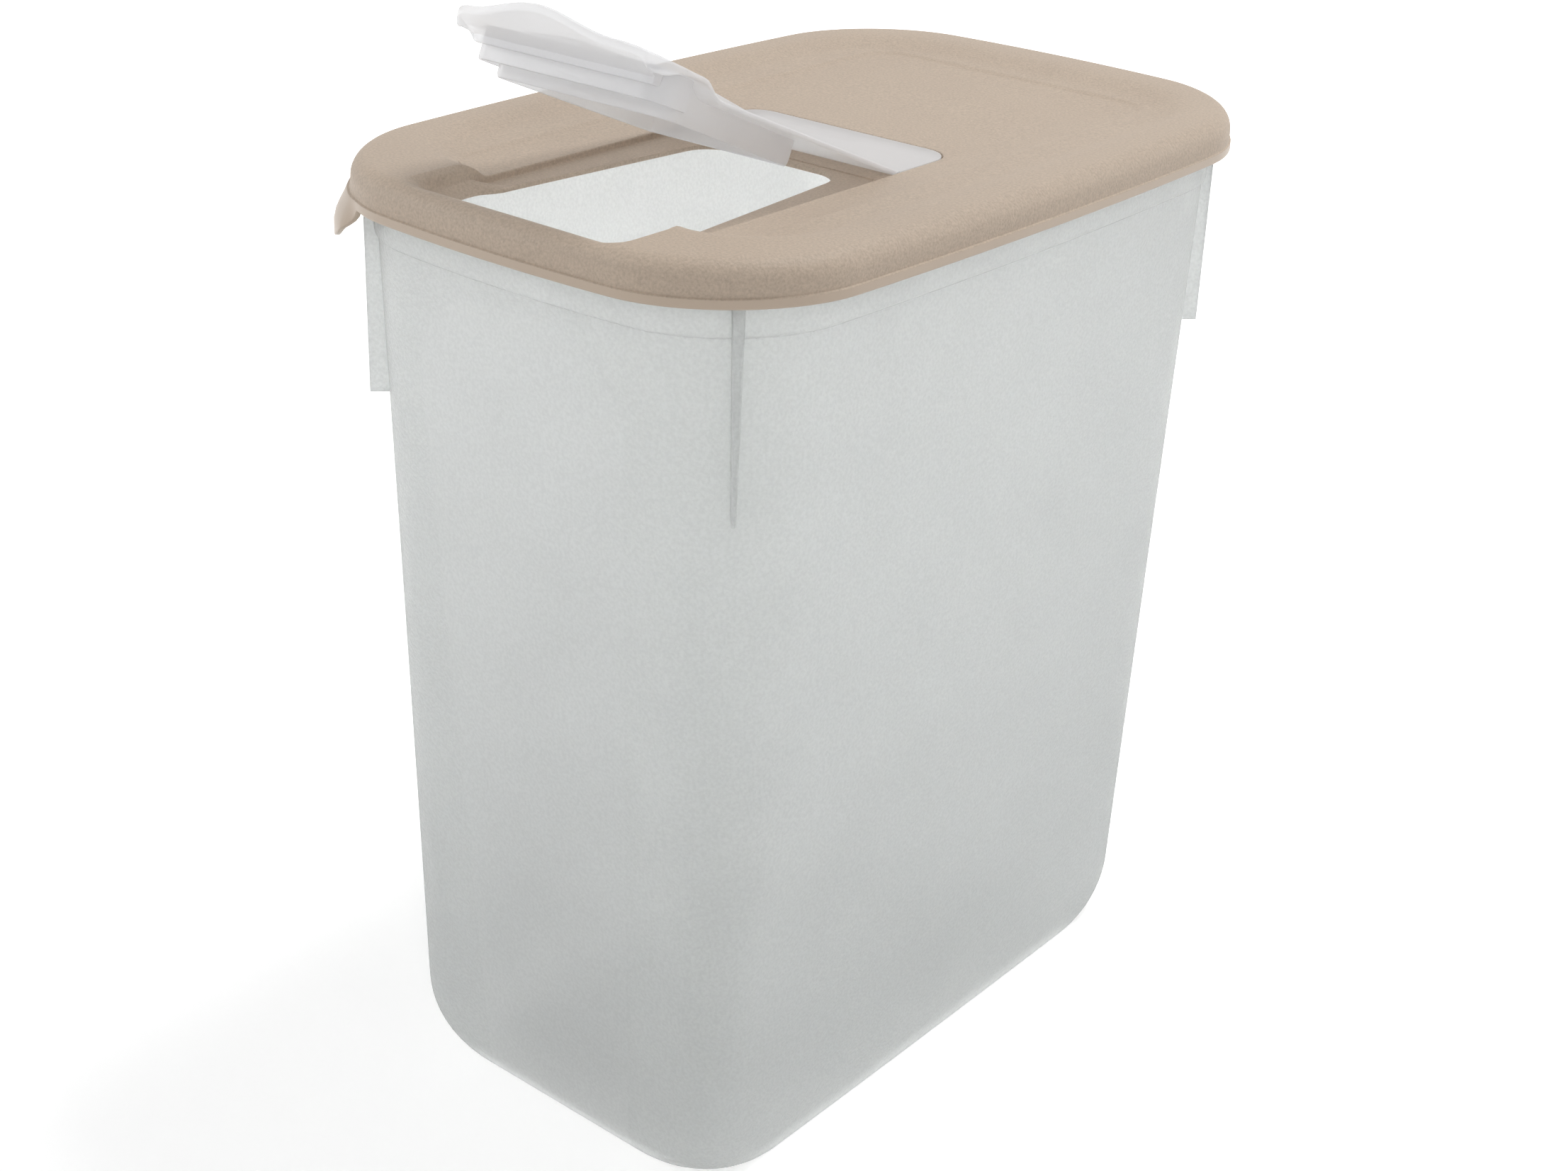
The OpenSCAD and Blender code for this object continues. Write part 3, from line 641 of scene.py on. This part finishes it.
def reach(points):
    """How far each ray goes before it leaves a closed outline for the last time."""
    p = np.asarray(points) - LID_CENTRE
    e = np.roll(p, -1, axis=0) - p
    dx, dy = rays_xy[:, :1], rays_xy[:, 1:]
    across = dx * e[:, 1] - dy * e[:, 0]
    across = np.where(abs(across) < 1e-12, 1e-12, across)
    distance = (p[:, 0] * e[:, 1] - p[:, 1] * e[:, 0]) / across
    share = (p[:, 0] * dy - p[:, 1] * dx) / across
    hit = (share > -1e-7) & (share < 1 + 1e-7) & (distance > 0)
    return np.where(hit, distance, 0).max(axis=1)


def mirrored(right):
    """Close an outline whose +X half runs from the rear to the front."""
    right = np.asarray(right, dtype=float)
    return np.concatenate([right, (right * (-1, 1))[::-1]])


def bend(centre, r, start_deg, end_deg, steps=8):
    """Points on an arc, for outlines with rounded corners."""
    turn = np.radians(np.linspace(start_deg, end_deg, steps + 1))
    return [(centre[0] + r * math.cos(t), centre[1] + r * math.sin(t)) for t in turn]


print("reach of the lip: from", round(reach(outline(LIP)).min(), 1),
      "to", round(reach(outline(LIP)).max(), 1), "mm")

# %% The lid's outlines
CREST_Z, DECK_Z, LEDGE_Z, PAN_Z = 418, 411, 408, 406
CREST_INSET_MM, CREST_HALF_MM, CREST_FOOT_Z = 0.9, 8.0, 409.8
# Each row is a ring on the top face without its height, that height, and the rounding there.
top_knots = [
    (np.array([57.6, 82.8, 8, 0, 0, -55.2]), DECK_Z, 6),  # the deck round the recess
    (np.array([74.6, 141.5, 14.6, 0.4, 0.4, 2]), 413.1, 1.2),  # foot of the panel's step
    (np.array([77, 143.5, 17, 0.5, 0.5, 2.5]), 414.1, 1.2),  # top of the panel's step
    (np.array([93, 148, 33, 4, 5, 5]), 414.4, 4),  # where the rise to the crest starts
    (np.array([104, 158.5, 42, 5, 7, 8.5]), CREST_Z, 5)]  # the inner side of the crest
crest_turns = [math.radians(t) for t in range(90, -1, -10)]
crest_knots = [(inset(LIP, CREST_INSET_MM + CREST_HALF_MM * (1 - math.cos(t)), 0),
                CREST_FOOT_Z + (CREST_Z - CREST_FOOT_Z) * math.sin(t), 0) for t in crest_turns]
knots = [(reach(outline(ring)), z, r) for ring, z, r in top_knots + crest_knots]
knot_reach = np.array([k[0] for k in knots])
knot_z = np.array([k[1] for k in knots])


def top_height(distance):
    """Height of the lid's top face at a distance on each ray."""
    return np.array([np.interp(distance[i], knot_reach[:, i], knot_z)
                     for i in range(RAY_COUNT)])


# The recess's edge, the hole, and the seat and the brow of the front pocket.
edge = reach(mirrored(bend((42, 12), 12.6, 90, 0) + [(54.6, -146), (55.4, -149), (56.4, -153)]
                      + bend((46.4, -172), 10, 0, -90)))
hole = reach(mirrored(bend((23, -40), 14, 90, 5) + [(45.5, -131), (45.7, -136)]
                      + [(47.5, -140), (50, -145)] + bend((34, -151.5), 16, 0, -90)))
seat = reach(mirrored([(54.6, 24)] + bend((42.6, -161.6), 12, 0, -90)))
brow = reach(mirrored([(54.6, 24)] + bend((45.6, -168), 9, 0, -90)))
print("hole reach:", round(hole.min(), 1), "to", round(hole.max(), 1), "mm")

# %% [markdown]
# ## Profiles of the lid
# From the crest, a profile runs inwards over the panel to the edge of the recess, down its
# wall and over the ledge to the hole. At the front it runs down the pocket's slope to the
# throat instead, and a weight that turns from 0 to 1 beside the pocket blends the two. It
# returns underneath, round the hidden plug wall, and over the lip. At the left front
# corner the lip hangs down and flares into the lift tab.

# %% Build the profiles and the lid
SPARK, POLISHED = 0, 1
POCKET_Y, POCKET_BLEND_MM = -139.5, 4.5
UNDERCUT_MM = 2.2  # the least width of lid top outside the recess's edge
edge_y = LID_CENTRE[1] + edge * rays_xy[:, 1]
pocket = np.clip((POCKET_Y - edge_y) / POCKET_BLEND_MM, 0, 1)
pocket = pocket * pocket * (3 - 2 * pocket)
profile = []


def add_corner(distance, height, r, material=SPARK):
    """Add one corner of every profile: distance and height on each ray, and its rounding."""
    distance = np.broadcast_to(distance, RAY_COUNT).astype(float)
    height = np.broadcast_to(height, RAY_COUNT).astype(float)
    profile.append((distance, height, r, material))


def blended(ledge_value, pocket_value):
    """One value on the rays over the ledge and another over the pocket."""
    return ledge_value * (1 - pocket) + pocket_value * pocket


for ring_reach, z, r in reversed(knots):
    clear = np.maximum(ring_reach, edge + UNDERCUT_MM)
    add_corner(clear, top_height(clear), r)
add_corner(edge, top_height(edge), 1.0)
add_corner(blended(edge, brow), blended(np.minimum(top_height(edge) - 1.5, 412), 416), 0.8)
add_corner(blended(edge, seat), blended(LEDGE_Z, 411.2), 0.7)
add_corner(hole, blended(LEDGE_Z, 407.5), 0.8)
add_corner(hole, PAN_Z, 0.3)
plug_in = reach(outline(inset(wall(RIM_Z), 2.8, 0)))
pan = np.minimum(edge + UNDERCUT_MM, plug_in - 1.5)
add_corner(pan, PAN_Z, 0.5)
for share in (0, 0.3, 0.6):
    under = pan + (plug_in - pan) * share
    add_corner(under, blended(top_height(under) - 2, 410 + share), 0)
add_corner(plug_in, blended(415.4, 412.5), 0.8)
for ring, z, r in (
        (inset(wall(402), 3.0, 0), 402, 0.2), (inset(wall(402), 1.6, 0), 402, 0.2),  # plug's foot
        (inset(wall(403.5), 1.2, 0), 403.5, 0.4), (inset(wall(RIM_Z), 1.2, 0), 414.6, 0.4),
        (inset(LIP, 3.4, 0), 414.6, 0.6), (inset(LIP, 2.5, 0), 413.2, 0)):  # over the rim
    add_corner(reach(outline(ring)), z, r)
print("corners so far:", len(profile))

# %% The lip and its lift tab
TAB_MID_DEG, TAB_HALF_DEG, TAB_FADE = 45, 27, 0.3
TAB_DROP_MM, TAB_FLARE_MM = 17, 6.6
FLARE_TOP_Z, FLARE_HEIGHT_MM = 409, 18
LIP_STEPS, LIP_WALL_MM = 6, 2.2
# Heights of the lip where no tab hangs down: its inside, its lower edge, its outer band.
INNER_TOP_Z, INNER_LOW_Z, LIP_LOW_Z = 405, 401.8, 401.4
BAND_LOW_Z, BAND_TOP_Z, GROOVE_LOW_Z, GROOVE_TOP_Z = 401.9, 405.1, 405.4, 407.5
lip_reach = reach(outline(LIP))
lip_xy = LID_CENTRE + lip_reach[:, None] * rays_xy
tab_centre = -np.array([LIP[0] - LIP[3] - LIP[2], LIP[1] - LIP[4] - LIP[2]])
tab_turn = np.degrees(np.arctan2(tab_centre[1] - lip_xy[:, 1], tab_centre[0] - lip_xy[:, 0]))
# On each ray, how far it passes from the middle of the tab: -1 or 1 at its ends.
beside = np.clip((tab_turn - TAB_MID_DEG) / TAB_HALF_DEG, -1, 1)
tab_fade = np.clip((1 - abs(beside)) / TAB_FADE, 0, 1)
tab_fade = tab_fade * tab_fade * (3 - 2 * tab_fade)
tab_drop = TAB_DROP_MM * (1 - beside ** 2) ** 0.8


def flare(height):
    """How far the lip stands out at a height, on each ray: nothing except at the tab."""
    u = np.clip((FLARE_TOP_Z - height) / FLARE_HEIGHT_MM, 0, 1)
    return TAB_FLARE_MM * (1 - 0.5 * beside ** 2) * tab_fade * u * u * (3 - 2 * u)


# Down the inside of the lip, round its lower edge, and up the polished band outside.
for step in range(LIP_STEPS + 1):
    height = INNER_TOP_Z + (INNER_LOW_Z - tab_drop - INNER_TOP_Z) * step / LIP_STEPS
    add_corner(lip_reach - LIP_WALL_MM + flare(height), height,
               0.3 if step == LIP_STEPS else 0, POLISHED)
for depth in (1.8, 0.3):
    height = LIP_LOW_Z - tab_drop
    add_corner(lip_reach - depth + flare(height), height, 0.3, POLISHED)
for step in range(LIP_STEPS + 1):
    height = BAND_LOW_Z - tab_drop + (BAND_TOP_Z - BAND_LOW_Z + tab_drop) * step / LIP_STEPS
    add_corner(lip_reach - 0.15 * step / LIP_STEPS + flare(height), height,
               0.3 if step in (0, LIP_STEPS) else 0, POLISHED if step < LIP_STEPS else SPARK)
# A fine groove runs over the band, some 1 mm deep.
for depth, height, r in ((1.05, GROOVE_LOW_Z, 0.3), (0.95, GROOVE_TOP_Z, 0)):
    add_corner(lip_reach - depth + flare(np.full(RAY_COUNT, height)), height, r)

radii = [c[2] for c in profile]
columns = np.stack([soften(np.array([(c[0][i], c[1][i]) for c in profile]), radii, closed=True)
                    for i in range(RAY_COUNT)])
finishes = []
for c in profile:
    finishes += [c[3]] * (3 if c[2] else 1)
bm = bmesh.new()
sections = []
for row in range(columns.shape[1]):
    xy = LID_CENTRE + columns[:, row, :1] * rays_xy
    sections.append([(x, y, z) for (x, y), z in zip(xy, columns[:, row, 1])])
loft(bm, sections, looped=True, finishes=finishes)
print("lid profiles:", RAY_COUNT, "rays of", columns.shape[1], "points")

# %% [markdown]
# ## The cross bar
# Behind the hole a low bar crosses the recess, under the hinge line and the leaf. It stands
# only 0.6 mm over the ledge, so it is a plate of its own that is set into the ledge.

# %% Add the cross bar and finish the lid
bar = soften([(-54.4, -22), (54.4, -22), (54.4, 24.4), (-54.4, 24.4)], [0.5, 0.5, 3, 3],
             closed=True)
bar_sections = []
for shrink, z in ((0, 407), (0, 408.3), (0.12, 408.5), (0.4, 408.6)):
    bar_sections.append([(x - math.copysign(shrink, x), y - math.copysign(shrink, y - 1), z)
                         for x, y in bar])
loft(bm, bar_sections)
lid = finish_piece("lid_shell", bm, [spark_beige, polished_beige], crease_deg=40)
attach(lid, "lid")
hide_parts("lid")

# %% [markdown]
# ## The fixed leaf and the film hinge
# The flap moulding starts with a flat leaf that is fixed in the rear of the recess. A thin
# film joins it to the moving part. The leaf is a loft through a rounded outline that draws
# in at its top and bottom edges, and the film is a slim bead on the hinge line.

# %% Leaf and film
HINGE_Y, PLATE_MM, FLAP_HALF = -13.0, 2.0, 54.0
LEAF_GAP_MM, LEAF_CORNER_MM = 0.5, 12
FILM_HALF_WIDTH_MM, FILM_HALF_MM, FILM_SINK_MM = 0.55, 0.3, 0.25


def drawn_in(points, d):
    """Move a closed outline inwards by d, along the mean normal at each point."""
    p = np.asarray(points, dtype=float)
    side = np.roll(p, -1, axis=0) - p
    side /= np.maximum(np.linalg.norm(side, axis=1, keepdims=True), 1e-9)
    normal = np.stack([-side[:, 1], side[:, 0]], axis=1)
    mean = normal + np.roll(normal, 1, axis=0)
    mean /= np.maximum((mean ** 2).sum(axis=1, keepdims=True), 0.5)
    area = np.sum(p[:, 0] * np.roll(p[:, 1], -1) - np.roll(p[:, 0], -1) * p[:, 1])
    return p + mean * 2 * d * (1 if area > 0 else -1)


def slab(bm, points, z_low, z_high, r):
    """A flat plate with rounded edges from a closed plan outline."""
    steps = [(r, z_low), (0.3 * r, z_low + 0.3 * r), (0, z_low + r), (0, z_high - r),
             (0.3 * r, z_high - 0.3 * r), (r, z_high)]
    loft(bm, [[(x, y, z) for x, y in drawn_in(points, d)] for d, z in steps])


bm = bmesh.new()
leaf_plan = mirrored([(FLAP_HALF, HINGE_Y + LEAF_GAP_MM)]
                     + bend((FLAP_HALF - LEAF_CORNER_MM, 12), LEAF_CORNER_MM, 0, 90))
slab(bm, leaf_plan, DECK_Z - PLATE_MM, DECK_Z, 0.4)
bead = [(HINGE_Y + FILM_HALF_WIDTH_MM * math.cos(t),
         DECK_Z - FILM_SINK_MM + FILM_HALF_MM * math.sin(t))
        for t in np.arange(10) * math.pi / 5]
loft(bm, [[(x, y, z) for y, z in bead] for x in (-53.8, 53.8)])
leaf = finish_piece("fixed_leaf", bm, [flap_plastic])
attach(leaf, "lid")
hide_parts("hinge_leaf")

# %% [markdown]
# ## The pouring flap
# The flap is a flat plate that steps up at its front into a visor with a crown in the
# middle, so that a finger can lift it. Its section changes all along the width, so it is
# lofted from many sections, each the same list of corners with rounded edges. Walls hang
# under it and plug the hole. It is modelled closed, then turned open about the hinge.

# %% Visor sections
FLAP_OPEN = math.radians(23.4)
VISOR_START, VISOR_BASE = 120.5, 5.4  # where the step up starts, and how high it goes
FRONT_MM, FRONT_ARC, ARC_END_MM, VISOR_CORNER_MM = 168.5, 0.0035, 38, 22
EDGE_MM, CROWN_MM, CROWN_HALF_MM, DROOP_MM = 8.4, 5.3, 36, 2.4
RIB_MM, RIB_CORNER_MM, RIB_FLAT_HALF_MM = 140.5, 10, 39
PLAIN_POINTS = (2, 30, 60, 90, 112)  # places along the flat plate
UPPER_POINTS = 8 * 3 + len(PLAIN_POINTS)  # eight rounded corners have three points each


def smooth(u):
    """An S-curve from 0 to 1."""
    v = max(0.0, min(1.0, u))
    return v * v * (3 - 2 * v)


def front_edge(x):
    """Distance from the hinge to the visor's front edge: a shallow arc, then a corner."""
    x = abs(x)
    if x < ARC_END_MM:
        return FRONT_MM - FRONT_ARC * x * x

    def depth(v):
        off = v - (FLAP_HALF - VISOR_CORNER_MM)
        return math.sqrt(max(0, VISOR_CORNER_MM ** 2 - off ** 2))
    return FRONT_MM - FRONT_ARC * ARC_END_MM ** 2 - depth(ARC_END_MM) + depth(x)


def front_height(x):
    """Height of the front edge over the plate: a crown in the middle, lower corners."""
    x = abs(x)
    crown = CROWN_MM * math.cos(math.radians(90 * min(1, x / CROWN_HALF_MM))) ** 2
    droop = DROOP_MM * (max(0, x - ARC_END_MM) / (FLAP_HALF - ARC_END_MM)) ** 2
    return EDGE_MM + crown - droop


def flap_section(x):
    """Corners of the flap's section at x as (distance, height), with their roundings."""
    # f is the distance of the front edge, b the height of the visor after its step up, s1
    # the distance where the rise to the front starts, c that rise and run its length.
    f, top, b = front_edge(x), front_height(x), VISOR_BASE
    s1, c = VISOR_START + 9, top - VISOR_BASE
    run = f - s1
    beyond = min(RIB_CORNER_MM, max(0, abs(x) - RIB_FLAT_HALF_MM))
    rib = RIB_MM + math.sqrt(RIB_CORNER_MM ** 2 - beyond ** 2)
    to_side = smooth((abs(x) - 45) / 3.5)
    foot_h = 0.6 + 3 * smooth((153 - f) / 8)
    rise = top - 0.7 - foot_h
    upper = [(0.5, 0, 0.4)] + [(s, 0, 0) for s in PLAIN_POINTS]
    upper += [(VISOR_START, 0, 5), (VISOR_START + 5, 2.9, 3), (VISOR_START + 8.5, b, 3),
              (s1 + 0.35 * run, b + 0.3 * c, 4), (s1 + 0.68 * run, b + 0.66 * c, 4),
              (f - 1.4, top, 1), (f, top - 0.7, 0.6)]
    # Under the visor a rib plugs the pocket; at either end the underside drops to the front.
    middle = [(s1 + 10, b + 0.3 * c - 2), (rib - 4.3, b + 0.42 * c - 2), (rib - 3.9, -2.8),
              (rib, -2.8), (rib + 0.4, -0.2), (rib + 3, 0.4), (f - 2.4, top - 4.2),
              (f - 0.5, top - 3.2)]
    side = [(s1 + 0.35 * run, b - 1.9), (s1 + 0.58 * run, b - 1.9), (s1 + 0.68 * run, b - 1.95),
            (s1 + 0.78 * run, (b - 2) * 0.7 + foot_h * 0.3),
            (s1 + 0.87 * run, (b - 2) * 0.3 + foot_h * 0.7), (s1 + 0.95 * run, foot_h),
            (f - 0.25, foot_h + 0.3 * rise), (f - 0.1, foot_h + 0.7 * rise)]
    roundings = (3, 0.8, 0.4, 0.5, 0.5, 2, 1.5, 0.6)
    lower = [(0.5, -PLATE_MM, 0.4)] + [(s, -PLATE_MM, 0) for s in PLAIN_POINTS]
    lower += [(VISOR_START - 1, -PLATE_MM, 5), (VISOR_START + 4, 0.6, 3), (s1, b - PLATE_MM, 3)]
    lower += [(m[0] + (s[0] - m[0]) * to_side, m[1] + (s[1] - m[1]) * to_side, r)
              for m, s, r in zip(middle, side, roundings)]
    corners = upper + lower[::-1]
    return soften([q[:2] for q in corners], [q[2] for q in corners], closed=True)


def open_place(x, s, h):
    """Place of a flap point in the photographed pose, from its closed coordinates."""
    return (x, HINGE_Y - (s * math.cos(FLAP_OPEN) - h * math.sin(FLAP_OPEN)),
            DECK_Z + s * math.sin(FLAP_OPEN) + h * math.cos(FLAP_OPEN))


# Each station is an x and how far its section is drawn in, which rounds the two sides.
stations = [(-FLAP_HALF, 0.5), (0.15 - FLAP_HALF, 0.2), (0.5 - FLAP_HALF, 0.0)]
for first, last, count in ((-53, -44, 14), (-43, 43, 58), (44, 53, 14)):
    stations += [(x, 0.0) for x in np.linspace(first, last, count)]
stations += [(FLAP_HALF - 0.5, 0.0), (FLAP_HALF - 0.15, 0.2), (FLAP_HALF, 0.5)]
bm = bmesh.new()
rows = loft(bm, [[open_place(x, s, h) for s, h in drawn_in(flap_section(x), d)]
                 for x, d in stations], capped=False)


def close_side(row):
    """Fill a side of the flap with a strip between its upper and its lower edge."""
    upper, lower = row[:UPPER_POINTS], row[UPPER_POINTS:][::-1]
    i = j = 0
    while i < len(upper) - 1 or j < len(lower) - 1:
        up_next = -upper[i + 1].co.y if i < len(upper) - 1 else math.inf
        low_next = -lower[j + 1].co.y if j < len(lower) - 1 else math.inf
        if up_next <= low_next:
            bm.faces.new((upper[i], upper[i + 1], lower[j]))
            i += 1
        else:
            bm.faces.new((upper[i], lower[j + 1], lower[j]))
            j += 1


close_side(rows[0])
close_side(rows[-1])
print("flap stations:", len(stations))

# %% Plug walls under the flap
def under_sheet(s):
    """How high a plug wall reaches: into the plate, or into the visor's raised sheet."""
    return float(np.interp(s, [119.5, 124.5, 129.5, 140], [-1, 1.4, 4.3, 4.8]))


def plug_outline(half_rear, half_front, rear, front, r):
    """Plan of a plug wall as (x, distance from the hinge)."""
    points = mirrored([(half_rear, rear)] + bend((half_front - r, front - r), r, 0, 90, 6))
    radii = [2.0] + [0] * (len(points) - 2) + [2.0]
    return soften(points, radii, closed=True)


skirt = plug_outline(36.5, 45, 48, 136, 6)
# How far each ring of the wall is drawn in, and its height; None is where the wall meets
# the plate above it.
rings = [(0, None), (0, -9.5), (0.2, -11.2), (0.55, -12.2), (1.0, -12.5), (1.5, -12.2),
         (1.8, -11.4), (1.8, None)]
loft(bm, [[open_place(x, s, under_sheet(s) if h is None else h) for x, s in drawn_in(skirt, d)]
          for d, h in rings], looped=True)
# A second, shallower wall runs in a U round the front of that one.
shelf_out = [(48, 130)] + bend((38, 136.9), 10, 0, 90, 6)
shelf_in = [(46.2, 130)] + bend((38, 136.9), 8.2, 0, 90, 6)
shelf = np.array(shelf_out + [(-x, s) for x, s in reversed(shelf_out)]
                 + [(-x, s) for x, s in shelf_in] + list(reversed(shelf_in)))
loft(bm, [[open_place(x, s, h) for x, s in drawn_in(shelf, d)]
          for d, h in ((0.5, -8.3), (0.15, -8.1), (0, -7.6), (0, 4.2))])
flap = finish_piece("pouring_flap", bm, [flap_plastic])
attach(flap, "flap")
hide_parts("flap")
